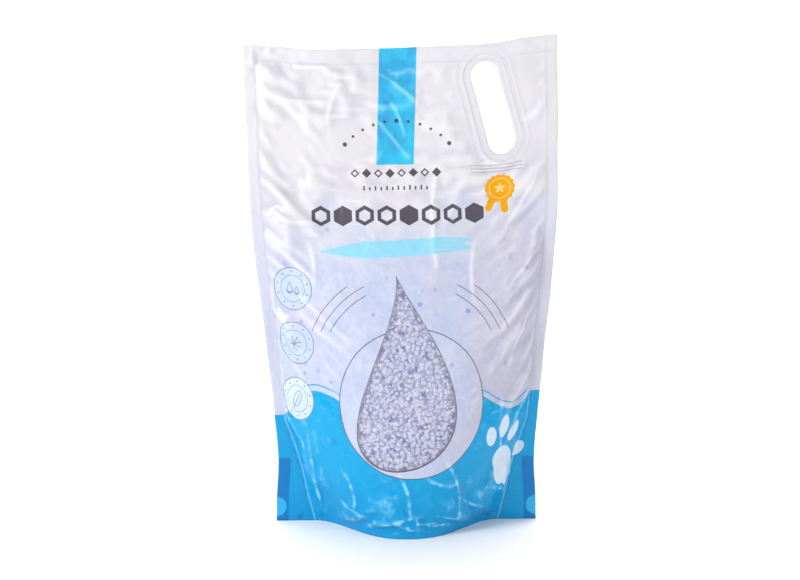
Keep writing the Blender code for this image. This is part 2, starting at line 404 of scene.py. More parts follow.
FRONT_CREASES = [
    # sharper than the folds, and pressed in after the film has settled
    ((-8, 64), (5, 42), (1, 16), 2.2, 1.5),
    ((0, 32), (12, 18), (8, 6), 2.0, 1.2),
    ((36, 72), (53, 50), (48, 12), 2.4, 1.8),
    ((48, 42), (60, 30), (76, 24), 2.2, 1.4),
    ((28, 22), (46, 18), (64, 8), 2.0, 1.2),
    ((90, 98), (104, 62), (112, 22), 2.6, 1.8),
    ((80, 44), (96, 42), (114, 30), 2.4, 1.3),
    ((-72, 32), (-50, 22), (-30, 18), 2.5, 1.2),
    ((-101, 92), (-93, 52), (-100, 16), 2.6, 1.6),
    ((-62, 64), (-48, 46), (-54, 24), 2.2, 1.1),
    ((18, 60), (30, 50), (46, 54), 2.0, 1.1),
    ((-22, 14), (-6, 22), (12, 24), 2.0, 1.0),
    ((-22, 430), (0, 416), (14, 400), 2.4, 0.9),
    ((-14, 408), (-4, 396), (2, 372), 2.2, 1.0),
    ((-24, 388), (-8, 368), (4, 352), 2.4, 0.8),
    ((30, 340), (22, 300), (27, 250), 3.5, 1.8),
    ((-54, 420), (-70, 400), (-66, 372), 3.0, 1.0),
    ((-120, 300), (-104, 285), (-84, 292), 3.0, 1.1),
    ((-88, 270), (-80, 250), (-86, 228), 3.0, 1.0),
    ((124, 330), (112, 312), (96, 288), 3.0, 1.3),
    ((128, 262), (112, 250), (94, 226), 3.0, 1.3),
    ((62, 268), (56, 240), (62, 214), 3.2, 1.4),
    ((126, 206), (112, 190), (100, 160), 3.0, 1.2),
]
BACK_FOLDS = [
    ((-62, 350), (-40, 310), (-30, 235), 8, 2.2),
    ((60, 360), (72, 290), (60, 215), 9, -2.2),
    ((120, 430), (110, 400), (92, 380), 5, 1.6),
    ((-133, 300), (-112, 250), (-108, 190), 6, 1.8),
    ((133, 270), (118, 220), (118, 150), 6, -1.8),
    ((-60, 6), (-84, 40), (-96, 92), 5, 2.0),
    ((60, 6), (84, 44), (98, 96), 5, 2.2),
    ((0, 8), (8, 40), (2, 80), 7, 1.4),
]


BACK_CREASES = [
    ((20, 340), (8, 300), (16, 240), 4, 1.6),
    ((-40, 330), (-52, 290), (-46, 240), 4, 1.4),
    ((90, 98), (100, 60), (106, 22), 2.6, 1.6),
    ((-101, 92), (-93, 52), (-100, 16), 2.6, 1.6),
    ((-30, 60), (-12, 40), (-20, 14), 2.4, 1.4),
    ((30, 66), (44, 44), (36, 14), 2.4, 1.4),
    ((-128, 300), (-106, 285), (-86, 250), 3, 1.2),
    ((126, 250), (108, 230), (98, 190), 3, 1.2),
    ((-50, 22), (-20, 16), (20, 24), 2.2, 1.0),
]


def shared_sway(s, t):
    """How far both films bend together out of the seals' plane: slack waves along the top and the side seals."""
    high = smooth((t - 0.28) / 0.14)
    wave = 0.0030 * np.sin(s / 0.023 + 0.6) * np.exp(-(((s + 0.085) / 0.06) ** 2))
    wave += 0.0018 * np.sin(s / 0.036 + 2.0)
    side = smooth((np.abs(s) - 0.105) / 0.03)
    ripple = 0.0014 * np.sin(t / 0.0135 + np.sign(s) * 1.3) * side * smooth((t - 0.09) / 0.06)
    calm = smooth((hole_distance(s, t) - 0.004) / 0.03)
    corner = np.exp(-np.hypot((s + 0.128) / 0.035, (t - 0.440) / 0.030) ** 2)
    crumple = soft_noise(77, s.shape, s[1, 0] - s[0, 0], 0.0075) * 0.0007 * corner
    upper = soft_noise(78, s.shape, s[1, 0] - s[0, 0], 0.013) * 0.00045 * smooth((t - 0.36) / 0.05)
    return wave * high * (0.35 + 0.65 * calm) + (ripple + upper) * calm + crumple


def hole_distance(s, t):
    """Distance from the hand hole's edge over the flat film, below 0 inside it."""
    x = s - HOLE_CENTRE[0]
    z = t - HOLE_CENTRE[1]
    along = -x * math.sin(HOLE_TILT) + z * math.cos(HOLE_TILT)
    side = x * math.cos(HOLE_TILT) + z * math.sin(HOLE_TILT)
    run = (HOLE_LENGTH - HOLE_WIDTH) / 2
    return np.hypot(side, along - np.clip(along, -run, run)) - HOLE_WIDTH / 2


class Film:
    """One relaxed panel of film on a grid of flat places."""

    def __init__(self, sizes, folds, seed):
        columns = 2 * round(FLAT_WIDTH / sizes.mesh_step / 2) + 1
        rows = round(FILM_HEIGHT / sizes.mesh_step) + 1
        self.flat = np.linspace(-FLAT_WIDTH / 2, FLAT_WIDTH / 2, columns)
        self.along = np.linspace(0.0, FILM_HEIGHT, rows)
        self.s, self.t = np.meshgrid(self.flat, self.along, indexing="ij")
        self.base = base_film(self.flat, self.along)
        self.free = self.freedom()
        self.points = self.base.copy()
        self.points[..., 1] += self.free * (self.creases(folds) + self.rough(seed, sizes))
        self.relax(sizes)

    def freedom(self):
        """0 where the film is welded, 1 where it can move."""
        inside = FLAT_WIDTH / 2 - wing_at(self.t) - np.abs(self.s)
        free = smooth(inside / 0.012)
        free = free * smooth((FILM_HEIGHT - TOP_SEAL - self.t) / 0.012)
        free = free * smooth((self.t - SKIRT) / 0.014)
        return free * smooth((hole_distance(self.s, self.t) - 0.009) / 0.012)

    def creases(self, folds):
        return 1.5 * sum(fold(self.s, self.t, *one) for one in folds)

    def rough(self, seed, sizes):
        step = sizes.mesh_step
        wide = soft_noise(seed, self.s.shape, step, 0.030)
        fine = soft_noise(seed + 1, self.s.shape, step, 0.011)
        slack_part = smooth((self.t - 0.27) / 0.08) + smooth((np.abs(self.s) - 0.06) / 0.06)
        slack_part = slack_part + 1.6 * smooth((0.080 - self.t) / 0.05)
        return (0.0012 * wide + 0.0007 * fine) * np.clip(0.25 + slack_part, 0.0, 1.8)

    def relax(self, sizes):
        """Position-based cloth: the film keeps its lengths, lies on the fill and stays near its place."""
        p = self.points
        ds = (self.flat[1] - self.flat[0]) * (1.0 + sizes.slack)
        dt = (self.along[1] - self.along[0]) * (1.0 + sizes.slack)
        diagonal = math.hypot(ds, dt)
        weight = (self.free > 0.02).astype(float)[..., None]
        filled = smooth((FILL_LENGTH - self.t) / 0.03)
        least = self.base[..., 1] - 0.0004 - 0.0030 * (1.0 - filled)
        least = np.maximum(least, 0.0)
        cap = 0.0055
        home = self.points.copy()
        rounds = sizes.rounds
        for turn in range(rounds):
            for first, second, rest, firm in pairs(ds, dt, diagonal):
                pull(p, weight, first, second, rest, firm)
            p[..., 1] += 0.03 * weight[..., 0] * (home[..., 1] - p[..., 1])
            p[..., 1] = np.where(weight[..., 0] > 0, np.maximum(p[..., 1], least), p[..., 1])
            away = p - self.base
            far = np.linalg.norm(away, axis=-1, keepdims=True)
            p[:] = np.where(far > cap, self.base + away * cap / np.maximum(far, 1e-9), p)
        for _ in range(2):
            eased = p.copy()
            eased[1:-1, 1:-1] = 0.5 * p[1:-1, 1:-1]
            eased[1:-1, 1:-1] += 0.125 * (p[:-2, 1:-1] + p[2:, 1:-1] + p[1:-1, :-2] + p[1:-1, 2:])
            p[:] = np.where(weight > 0, eased, p)

    def refined(self, step):
        """Flat places and points on a finer grid, through smooth curves."""
        flat = np.linspace(self.flat[0], self.flat[-1], 2 * len(self.flat) - 1)
        along = np.linspace(0.0, FILM_HEIGHT, 2 * len(self.along) - 1)
        return flat, along, doubled(doubled(self.points, 0), 1)


def doubled(values, axis):
    """Puts a point midway between each two along one axis, on a smooth curve."""
    values = np.moveaxis(values, axis, 0)
    before = np.concatenate([2 * values[:1] - values[1:2], values[:-2]])
    after = np.concatenate([values[2:], 2 * values[-1:] - values[-2:-1]])
    middle = (9.0 * (values[:-1] + values[1:]) - before - after) / 16.0
    result = np.zeros((2 * len(values) - 1, *values.shape[1:]))
    result[0::2] = values
    result[1::2] = middle
    return np.moveaxis(result, 0, axis)


def pairs(ds, dt, diagonal):
    """Every link of the grid, in groups whose links share no point: slices of both ends, length and firmness."""
    groups = []
    for k in (0, 1):
        groups.append(((slice(k, -1, 2), slice(None)), (slice(k + 1, None, 2), slice(None)), ds, 1.0))
        groups.append(((slice(None), slice(k, -1, 2)), (slice(None), slice(k + 1, None, 2)), dt, 1.0))
        low, high = slice(k, -1, 2), slice(k + 1, None, 2)
        for j in (0, 1):
            left, right = slice(j, -1, 2), slice(j + 1, None, 2)
            groups.append(((low, left), (high, right), diagonal, 0.7))
            groups.append(((low, right), (high, left), diagonal, 0.7))
    return groups


def pull(p, weight, first, second, rest, firm):
    """Moves the ends of one group of links towards the links' own length."""
    a, b = p[first], p[second]
    n, m = min(a.shape[0], b.shape[0]), min(a.shape[1], b.shape[1])
    a, b = a[:n, :m], b[:n, :m]
    wa, wb = weight[first][:n, :m], weight[second][:n, :m]
    gap = b - a
    length = np.linalg.norm(gap, axis=-1, keepdims=True)
    move = firm * (length - rest) / np.maximum(length, 1e-9) / np.maximum(wa + wb, 1.0) * gap
    a += wa * move
    b -= wb * move


# ---------------------------------------------------------------- meshes


def new_object(name, mesh):
    thing = bpy.data.objects.new(name, mesh)
    bpy.context.scene.collection.objects.link(thing)
    return thing


def grid_normals(points):
    across = np.gradient(points, axis=0)
    up = np.gradient(points, axis=1)
    normal = np.cross(across, up)
    return normal / np.linalg.norm(normal, axis=-1, keepdims=True)


def snap_to_hole(flat, along, points):
    """Moves the grid's points nearest the hand hole onto its edge. Returns the flat places and the kept faces."""
    s, t = np.meshgrid(flat, along, indexing="ij")
    middle_s = (s[:-1, :-1] + s[1:, 1:]) / 2
    middle_t = (t[:-1, :-1] + t[1:, 1:]) / 2
    kept = hole_distance(middle_s, middle_t) > 0.0
    count_kept = np.zeros(s.shape)
    count_cut = np.zeros(s.shape)
    for di in (0, 1):
        for dj in (0, 1):
            corner = (slice(di, di + kept.shape[0]), slice(dj, dj + kept.shape[1]))
            count_kept[corner] += kept
            count_cut[corner] += ~kept
    rim = (count_kept > 0) & (count_cut > 0)
    d_s = flat[1] - flat[0]
    d_t = along[1] - along[0]
    across = np.gradient(points, d_s, axis=0)
    up = np.gradient(points, d_t, axis=1)
    tiny = 1e-5
    for _ in range(3):
        gap = hole_distance(s, t)
        gs = (hole_distance(s + tiny, t) - gap) / tiny
        gt = (hole_distance(s, t + tiny) - gap) / tiny
        move_s = np.where(rim, -gap * gs, 0.0)
        move_t = np.where(rim, -gap * gt, 0.0)
        points = points + across * move_s[..., None] + up * move_t[..., None]
        s = s + move_s
        t = t + move_t
    return s, t, points, kept


def bend_at(out, step):
    """How sharply the film bends at each point: below 0 on ridges, above 0 in valleys, 1 in a sharp crease."""
    bend = np.zeros(out.shape)
    bend[1:-1, 1:-1] = out[:-2, 1:-1] + out[2:, 1:-1] + out[1:-1, :-2] + out[1:-1, 2:] - 4.0 * out[1:-1, 1:-1]
    bend = np.clip(bend / step**2 / SHARP_BEND, -1.0, 1.0)
    bend[1:-1, 1:-1] = 0.5 * bend[1:-1, 1:-1] + 0.125 * (
        bend[:-2, 1:-1] + bend[2:, 1:-1] + bend[1:-1, :-2] + bend[1:-1, 2:]
    )
    return bend


def film_mesh(name, s, t, outer, kept, bend, side, thickness):
    """A closed thin shell over the grid's kept faces, with a map of flat places and one for finished pictures."""
    columns, rows = s.shape
    normal = grid_normals(outer) * (1.0 if side < 0 else -1.0)
    inner = outer - normal * thickness
    index = np.arange(columns * rows).reshape(columns, rows)
    quads = np.stack([index[:-1, :-1], index[1:, :-1], index[1:, 1:], index[:-1, 1:]], axis=-1)[kept]
    if side > 0:
        quads = quads[:, ::-1]
    count = columns * rows
    edges = np.concatenate([quads[:, [k, (k + 1) % 4]] for k in range(4)])
    forward = edges[:, 0] * count + edges[:, 1]
    backward = edges[:, 1] * count + edges[:, 0]
    rim = edges[~np.isin(forward, backward)]
    rims = np.stack([rim[:, 1], rim[:, 0], rim[:, 0] + count, rim[:, 1] + count], axis=-1)
    faces = np.concatenate([quads, quads[:, ::-1] + count, rims])
    points = np.concatenate([outer.reshape(-1, 3), inner.reshape(-1, 3)])
    used = np.unique(faces)
    renumber = np.zeros(len(points), dtype=int)
    renumber[used] = np.arange(len(used))
    mesh = bpy.data.meshes.new(name)
    mesh.from_pydata(points[used].tolist(), [], renumber[faces].tolist())
    u = np.tile((s / FLAT_WIDTH + 0.5).reshape(-1), 2)[used]
    v = np.tile((t / FILM_HEIGHT).reshape(-1), 2)[used]
    corners = np.zeros(len(mesh.loops), dtype=int)
    mesh.loops.foreach_get("vertex_index", corners)
    flat_map = mesh.uv_layers.new(name="film")
    flat_map.data.foreach_set("uv", np.stack([u[corners], v[corners]], axis=-1).reshape(-1))
    picture = mesh.uv_layers.new(name="OFBake")
    hidden = np.repeat(np.arange(len(faces)) >= len(quads), 4)
    squeezed = np.where(hidden, 0.955 + 0.04 * u[corners], 0.003 + 0.94 * u[corners])
    picture.data.foreach_set("uv", np.stack([squeezed, 0.002 + 0.996 * v[corners]], axis=-1).reshape(-1))
    mesh.uv_layers.active = flat_map
    store(mesh, "bend", np.tile(bend.reshape(-1), 2)[used])
    mesh.shade_smooth()
    mesh.update()
    return mesh


def store(mesh, name, values):
    """Keeps one number a point for a finish to read."""
    mesh.attributes.new(name, "FLOAT", "POINT").data.foreach_set("value", values)


def emboss(s, t):
    """The weld round the hand hole: a flat ring with a raised bead outside it, and the seals' fine ribs."""
    gap = hole_distance(s, t)
    bead = 0.0006 * np.exp(-(((gap - 0.0075) / 0.0014) ** 2))
    groove = -0.0003 * np.exp(-(((gap - 0.0045) / 0.0016) ** 2))
    outer = 0.0005 * np.exp(-(((gap - 0.0135) / 0.0011) ** 2))
    inner_line = FLAT_WIDTH / 2 - SIDE_SEAL - np.abs(s)
    side_line = 0.0004 * np.exp(-((inner_line / 0.0013) ** 2)) * smooth((t - 0.06) / 0.05)
    top_line = 0.0004 * np.exp(-(((FILM_HEIGHT - TOP_SEAL - t) / 0.0012) ** 2)) * smooth((gap - 0.012) / 0.01)
    return bead + groove + outer + side_line + top_line


def make_film(name, side, folds, creases, seed, sizes):
    film = Film(sizes, folds, seed)
    flat, along, points = film.refined(2)
    s, t = np.meshgrid(flat, along, indexing="ij")
    film_step = flat[1] - flat[0]
    crinkle = soft_noise(seed + 7, s.shape, film_step, 0.0055) * 0.00008
    lumps = soft_noise(seed + 9, s.shape, film_step, 0.0045) * 0.00013 * smooth((FILL_LENGTH - t) / 0.03)
    loose = smooth((FLAT_WIDTH / 2 - wing_at(t) - np.abs(s)) / 0.006)
    sharp = 1.9 * sum(fold(s, t, *one) for one in creases) * smooth((hole_distance(s, t) - 0.012) / 0.012)
    bend = bend_at(points[..., 1] + sharp * loose, film_step)
    points[..., 1] += emboss(s, t) + (crinkle + lumps + sharp) * loose + lift(t)
    placed = np.stack([points[..., 0], side * points[..., 1] + shared_sway(s, t), points[..., 2]], axis=-1)
    s, t, placed, kept = snap_to_hole(flat, along, placed)
    return new_object(name, film_mesh(name, s, t, placed, kept, bend, side, sizes.film)), film


def lift(t):
    """Distance of a film's outer face from the seals' plane where nothing bulges: the gusset lies between low down."""
    layered = 1.0 - smooth((t - GUSSET_DEPTH - 0.002) / 0.015)
    return 0.00035 + 0.0005 * layered


# ---------------------------------------------------------------- the print


def drop_mask(x, y, centre, radius, reach, bend=0.0):
    """A drop with its tip up: radius is half its width and reach half its height, in millimetres."""
    v = (y - centre[1]) / reach
    lean = v * v * bend
    inside = ((1.0 - v).high(0.0) ** 1.5) * ((1.0 + v).high(0.0) ** 0.5) * (radius / 1.299)
    return (inside - 0.3 - abs(x - centre[0] - lean)).edge(0.5)


def bar_mask(finish, x, y, start, end, half):
    """A straight stroke with round ends."""
    dx, dy = end[0] - start[0], end[1] - start[1]
    size = dx * dx + dy * dy
    along = ((x - start[0]) * (dx / size) + (y - start[1]) * (dy / size)).clamped()
    px = x - start[0] - along * dx
    py = y - start[1] - along * dy
    return (half - (px * px + py * py).root()).edge(0.3)


def disc_mask(finish, place, centre, radius, soft=0.3):
    return (radius - finish.distance(place, centre)).edge(soft)


def ring_mask(finish, place, centre, radius, half, soft=0.3):
    return (half - abs(finish.distance(place, centre) - radius)).edge(soft)


def oval_mask(x, y, centre, across, up, turn):
    """An oval turned by an angle in degrees."""
    c, s = math.cos(math.radians(turn)), math.sin(math.radians(turn))
    a = ((x - centre[0]) * c + (y - centre[1]) * s) / across
    b = ((y - centre[1]) * c - (x - centre[0]) * s) / up
    return (1.0 - (a * a + b * b).root()).edge(0.06)


WAVE = [
    (0.000, 104.5),
    (0.035, 105.0),
    (0.100, 122.0),
    (0.170, 134.0),
    (0.245, 132.0),
    (0.300, 125.0),
    (0.420, 112.0),
    (0.540, 124.0),
    (0.645, 141.0),
    (0.745, 130.6),
    (0.840, 116.7),
    (0.890, 115.0),
    (0.940, 120.0),
    (0.968, 125.4),
    (1.000, 125.8),
]
WAVE_SCALE = 200.0


def wave_height(finish, u):
    """Height of the blue field's top edge, by the share across the film."""
    points = [(place, height / WAVE_SCALE) for place, height in WAVE]
    curve = finish.node("ShaderNodeFloatCurve", {"curve": points}, {"Value": u})
    return curve.term("Value") * WAVE_SCALE


def brush_mask(finish, x, y):
    """A dry brush stroke: tapered at its left end, streaked at its right."""
    streaks = finish.noise(finish.place(x * 0.02, y * 0.9), 1.0, 3.0, 0.6)
    ends = finish.noise(finish.place(x * 0.01, y * 0.55 + 40.0), 1.0, 2.0, 0.6)
    middle = 266.5 + (x + 12.0) * 0.045
    half = 8.4 - ((-40.0 - x).high(0.0) * 0.19) - ((x - 30.0).high(0.0) * 0.10)
    body = (half - abs(y - middle) - streaks * 1.2).edge(0.5)
    right = (55.0 + (ends - 0.5) * 46.0 - x).edge(1.0)
    left = (x + 78.0 - (ends - 0.5) * 26.0).edge(1.0)
    dry = 1.0 - ((streaks - 0.60).edge(0.06)) * (x.ramp(-10.0, 60.0))
    return body * right * left * dry


def rosette_mask(finish, x, y, centre):
    dx, dy = x - centre[0], y - centre[1]
    angle = finish.maths("ARCTAN2", dy, dx)
    far = (dx * dx + dy * dy).root()
    scallops = (angle * 16.0).sine() * 0.55
    disc = (13.4 + scallops - far).edge(0.4)
    tail = bar_mask(finish, x, y, (centre[0] - 6, centre[1] - 8), (centre[0] - 11, centre[1] - 18), 3.3)
    other = bar_mask(finish, x, y, (centre[0] + 3, centre[1] - 9), (centre[0] + 4, centre[1] - 20), 3.3)
    rings = (0.35 - abs(far - 9.6)).edge(0.3)
    star = (3.4 + (angle * 5.0).sine() * 1.5 - far).edge(0.3)
    return disc.high(tail).high(other), rings.high(star)


def add_ring(ink, finish, place, centre, radius, half):
    return ink.high(ring_mask(finish, place, centre, radius, half))


ICONS = ((-106.5, 228.0), (-107.5, 177.5), (-110.5, 124.5))


def icon_inks(finish, place, x, y):
    """Three round badges at the left: a pair of drops, a burst and a leaf, each in a double circle."""
    fill, ink = None, None
    for centre in ICONS:
        disc = disc_mask(finish, place, centre, 19.6)
        fill = disc if fill is None else fill.high(disc)
        outline = ring_mask(finish, place, centre, 19.6, 0.42)
        ink = outline if ink is None else ink.high(outline)
        ink = add_ring(ink, finish, place, centre, 12.4, 0.28)
        for k in range(10):
            turn = math.radians(36.0 * k + 18.0)
            bead = (centre[0] + 16.0 * math.cos(turn), centre[1] + 16.0 * math.sin(turn))
            ink = ink.high(disc_mask(finish, place, bead, 0.85))
    for offset, size in (((-3.2, 1.5), 3.8), ((4.0, -1.0), 2.8)):
        spot = (ICONS[0][0] + offset[0], ICONS[0][1] + offset[1])
        outer = drop_mask(x, y, spot, size, size * 1.6)
        ink = ink.high(outer - drop_mask(x, y, spot, size - 0.9, size * 1.6 - 1.5))
    for k in range(4):
        turn = math.pi * k / 4 + 0.2
        dx, dy = 7.0 * math.cos(turn), 7.0 * math.sin(turn)
        cx, cy = ICONS[1]
        ink = ink.high(bar_mask(finish, x, y, (cx - dx, cy - dy), (cx + dx, cy + dy), 0.42))
    leaf = oval_mask(x, y, ICONS[2], 4.4, 8.6, -28.0)
    leaf = leaf - oval_mask(x, y, ICONS[2], 3.6, 7.8, -28.0)
    cx, cy = ICONS[2]
    stem = bar_mask(finish, x, y, (cx - 5.5, cy - 10.0), (cx + 3.0, cy + 5.5), 0.4)
    return fill, ink.high(leaf).high(stem).clamped()


def paw_mask(finish, x, y):
    """A paw print: four toes round a pad."""
    toes = (((81.0, 92.0), 5.8, 9.4, 10.0), ((96.0, 100.0), 6.4, 10.6, -10.0))
    toes += (((113.0, 91.0), 6.4, 10.4, -32.0), ((125.0, 70.0), 5.6, 8.6, -46.0))
    mask = oval_mask(x, y, (100.0, 66.0), 14.0, 13.0, -30.0)
    mask = mask.high(oval_mask(x, y, (97.0, 55.0), 9.5, 12.0, 20.0))
    mask = mask.high(oval_mask(x, y, (110.0, 52.0), 9.5, 13.0, -16.0))
    for centre, across, up, turn in toes:
        mask = mask.high(oval_mask(x, y, centre, across, up, turn))
    return mask


def headline_mask(finish, place, x, y):
    """A row of plain hexagonal crystals where a heading would stand, with small signs and an arc of dots above."""
    ink = None
    for k in range(8):
        dx, dy = abs(x - (-76.0 + 20.0 * k)), abs(y - 297.5)
        solid = 8.4 - dx.high(dx * 0.5 + dy * 0.866)
        piece = solid.edge(0.3) if k % 3 == 1 else (1.7 - abs(solid - 1.7)).edge(0.3)
        ink = piece if ink is None else ink.high(piece)
    for k in range(11):
        turn = math.radians(-50.0 + 10.0 * k)
        centre = (-5.0 + 62.0 * math.sin(turn), 325.0 + 60.0 * math.cos(turn))
        ink = ink.high(disc_mask(finish, place, centre, 1.3 if k % 5 else 2.0))
    for k in range(8):
        diamond = 4.4 - abs(x - (-44.0 + 10.6 * k)) - abs(y - 337.0)
        ink = ink.high(diamond.edge(0.3) if k % 2 else (0.9 - abs(diamond - 1.2)).edge(0.3))
    for k in range(12):
        middle = -36.0 + 5.2 * k
        ink = ink.high(bar_mask(finish, x, y, (middle, 321.6), (middle, 324.6 - k % 2), 0.75))
    return ink


DROP = {"centre": (2.0, 156.0), "radius": 44.0, "reach": 88.0, "bend": -12.0}
HALO = ((4.0, 127.0), 66.5)


def drop_art(finish, place, x, y):
    """The clear drop, its dark outline, the white drop behind it, and fine lines beside them."""
    window = drop_mask(x, y, **DROP)
    outer = dict(DROP, radius=DROP["radius"] + 0.8, reach=DROP["reach"] + 1.2)
    centre, radius = HALO
    halo = disc_mask(finish, place, centre, radius)
    ink = (drop_mask(x, y, **outer) - window).clamped()
    ink = ink.high(ring_mask(finish, place, centre, radius, 0.4) * (1.0 - window))
    for far in (84.0, 92.0, 100.0):
        arc = ring_mask(finish, place, (4.0, 150.0), far, 0.32)
        side = (abs(x - 4.0) - 40.0).edge(1.0) * (y - 190.0).edge(1.0) * (232.0 - y).edge(1.0)
        ink = ink.high(arc * side)
    return window, halo, ink.clamped()


def film_places(finish):
    """Flat places on the film in millimetres: from the middle, and up from the bottom edge."""
    flat = finish.node("ShaderNodeUVMap", {"uv_map": "film"}, {})
    parts = finish.node("ShaderNodeSeparateXYZ", {}, {"Vector": flat.socket("UV")})
    u = parts.term("X")
    x = (u - 0.5) * (FLAT_WIDTH * 1000.0)
    y = parts.term("Y") * (FILM_HEIGHT * 1000.0)
    return u, x, y, finish.place(x, y)


def painted_crease_light(finish, base, painted_light_patches, ridge_highlight, valley, share):
    """Painted light on the film's bends: lighter along its ridges, partly crease whitening and partly a painted
    highlight for glints, and painted shade in its valleys.
    """
    bend = finish.node("ShaderNodeAttribute", {"attribute_name": "bend"}, {}).term("Fac")
    bend = bend * painted_light_patches
    base = finish.mix((bend - 0.06).clamped() * share, base, valley)
    return finish.mix(((0.0 - bend) - 0.06).clamped() * share, base, ridge_highlight)


def frosted(finish, colours, x, y, place, seed):
    """Milky film: near white where it is empty, lavender with blurred violet specks where granules lie behind."""
    drift = finish.noise(finish.place(x + seed, y), 0.018, 3.0, 0.55)
    level = 292.0 + (drift - 0.5) * 150.0
    filled = 1.0 - ((y - level + 46.0) / 72.0).clamped()
    mottle = finish.noise(finish.place(x, y + seed), 0.22, 3.0, 0.6)
    patch = finish.noise(finish.place(x, y - seed), 0.045, 2.0, 0.5)
    base = finish.mix((filled * (0.35 + patch * 1.1)).clamped(), tuple(colours.white), tuple(colours.lavender))
    far = finish.noise(finish.place(x + 2.0 * seed, y), 0.012, 2.0, 0.5)
    loose = (far.ramp(0.48, 0.66) * (1.0 - y.ramp(330.0, 400.0))).clamped()
    base = finish.mix(loose * 0.45, base, (0.50, 0.46, 0.58))
    # Painted shade: the film's right side, turned away from the light, is made greyer.
    turned = x.ramp(35.0, 80.0) * (1.0 - y.ramp(250.0, 305.0))
    base = finish.mix(turned * 0.6, base, (0.49, 0.455, 0.545))
    base = finish.mix(((mottle - 0.45) * 1.6).clamped() * filled * 0.5, base, (0.62, 0.63, 0.74))
    cells = finish.cells(finish.place(x + seed, y), 0.072)
    pick = finish.node("ShaderNodeSeparateColor", {}, {"Color": cells.socket("Color")})
    size = pick.term("Red").ramp(0.45, 1.0) * 0.26
    speck = ((size - cells.term("Distance")) * 7.0).clamped() * filled
    near = 0.35 + 0.60 * pick.term("Green")
    base = finish.mix(speck * near, base, (0.17, 0.17, 0.50))
    # The frosted film gets painted highlights along its ridges and painted shade in its valleys.
    return painted_crease_light(finish, base, 1.0, (0.78, 0.77, 0.80), (0.36, 0.36, 0.47), 0.6), filled


def seal_lines(x, y):
    """The welds at the sides and top, where the film is clearer and a little greyer."""
    side = (abs(x) - (FLAT_WIDTH / 2 - SIDE_SEAL) * 1000.0).edge(0.6)
    top = (y - (FILM_HEIGHT - TOP_SEAL) * 1000.0).edge(0.6)
    return side, top


def film_shader(finish, base, bump_height, roughness, window=None):
    bump = finish.node("ShaderNodeBump", {}, {"Height": bump_height, "Strength": 1.0, "Distance": 0.00022})
    sockets = {
        "Base Color": base,
        "Roughness": roughness,
        "Normal": bump.socket("Normal"),
        "Specular IOR Level": 0.26,
    }
    body = finish.node("ShaderNodeBsdfPrincipled", {}, sockets).socket("BSDF")
    if window is None:
        return finish.output(body)
    clear = finish.node("ShaderNodeBsdfTransparent", {}, {"Color": (0.97, 0.97, 0.985, 1.0)})
    mixed = finish.node("ShaderNodeMixShader", {}, {0: window, 1: body, 2: clear.socket("BSDF")})
    return finish.output(mixed.socket("Shader"))


def film_bump(finish, x, y, place, filled):
    """Fine crumples in the film, and the dimples that granules press into it."""
    warp = finish.noise(place, 0.05, 1.0) * 14.0
    crumple = finish.cells(finish.place(x + warp, y - warp), 0.075, "DISTANCE_TO_EDGE").term("Distance")
    facets = (crumple * 3.2).low(1.0)
    fine = finish.noise(place, 0.35, 3.0, 0.55)
    dimples = finish.noise(place, 0.28, 1.0) * filled
    return facets * (0.25 + filled * 0.25) + fine * 0.12 + dimples * 0.9


def hole_gap(finish, x, y):
    """Distance from the hand hole's edge in millimetres."""
    c, n = math.cos(HOLE_TILT), math.sin(HOLE_TILT)
    dx, dy = x - HOLE_CENTRE[0] * 1000.0, y - HOLE_CENTRE[1] * 1000.0
    along = dy * c - dx * n
    side = dx * c + dy * n
    run = (HOLE_LENGTH - HOLE_WIDTH) * 500.0
    past = (abs(along) - run).high(0.0)
    return (side * side + past * past).root() - HOLE_WIDTH * 500.0


def weld_shade(finish, x, y, base, printed):
    """Marks of the welds: the seals' inner lines, and the ring round the hand hole, painted as shade of its embossed
    beads.
    """
    side, top_weld = seal_lines(x, y)
    bare = 1.0 - printed
    gap = hole_gap(finish, x, y)
    # The two grey rings round the hand hole are painted shade of the embossed beads there; the grey lines along the
    # seals' edges are weld marks.
    ring = (0.55 - abs(gap - 7.0)).edge(0.6).high((0.35 - abs(gap - 13.4)).edge(0.6) * 0.7)
    edge_line = (0.7 - abs(abs(x) - 132.0)).edge(0.8) * 0.6
    top_line = (0.7 - abs(y - 437.0)).edge(0.8) * 0.6
    weld_lines_and_ring_shade = ring.high(edge_line).high(top_line)
    base = finish.mix(weld_lines_and_ring_shade * 0.45 * bare, base, (0.40, 0.40, 0.47))
    return finish.mix((side + top_weld).clamped() * 0.30 * bare, base, (0.60, 0.61, 0.66))


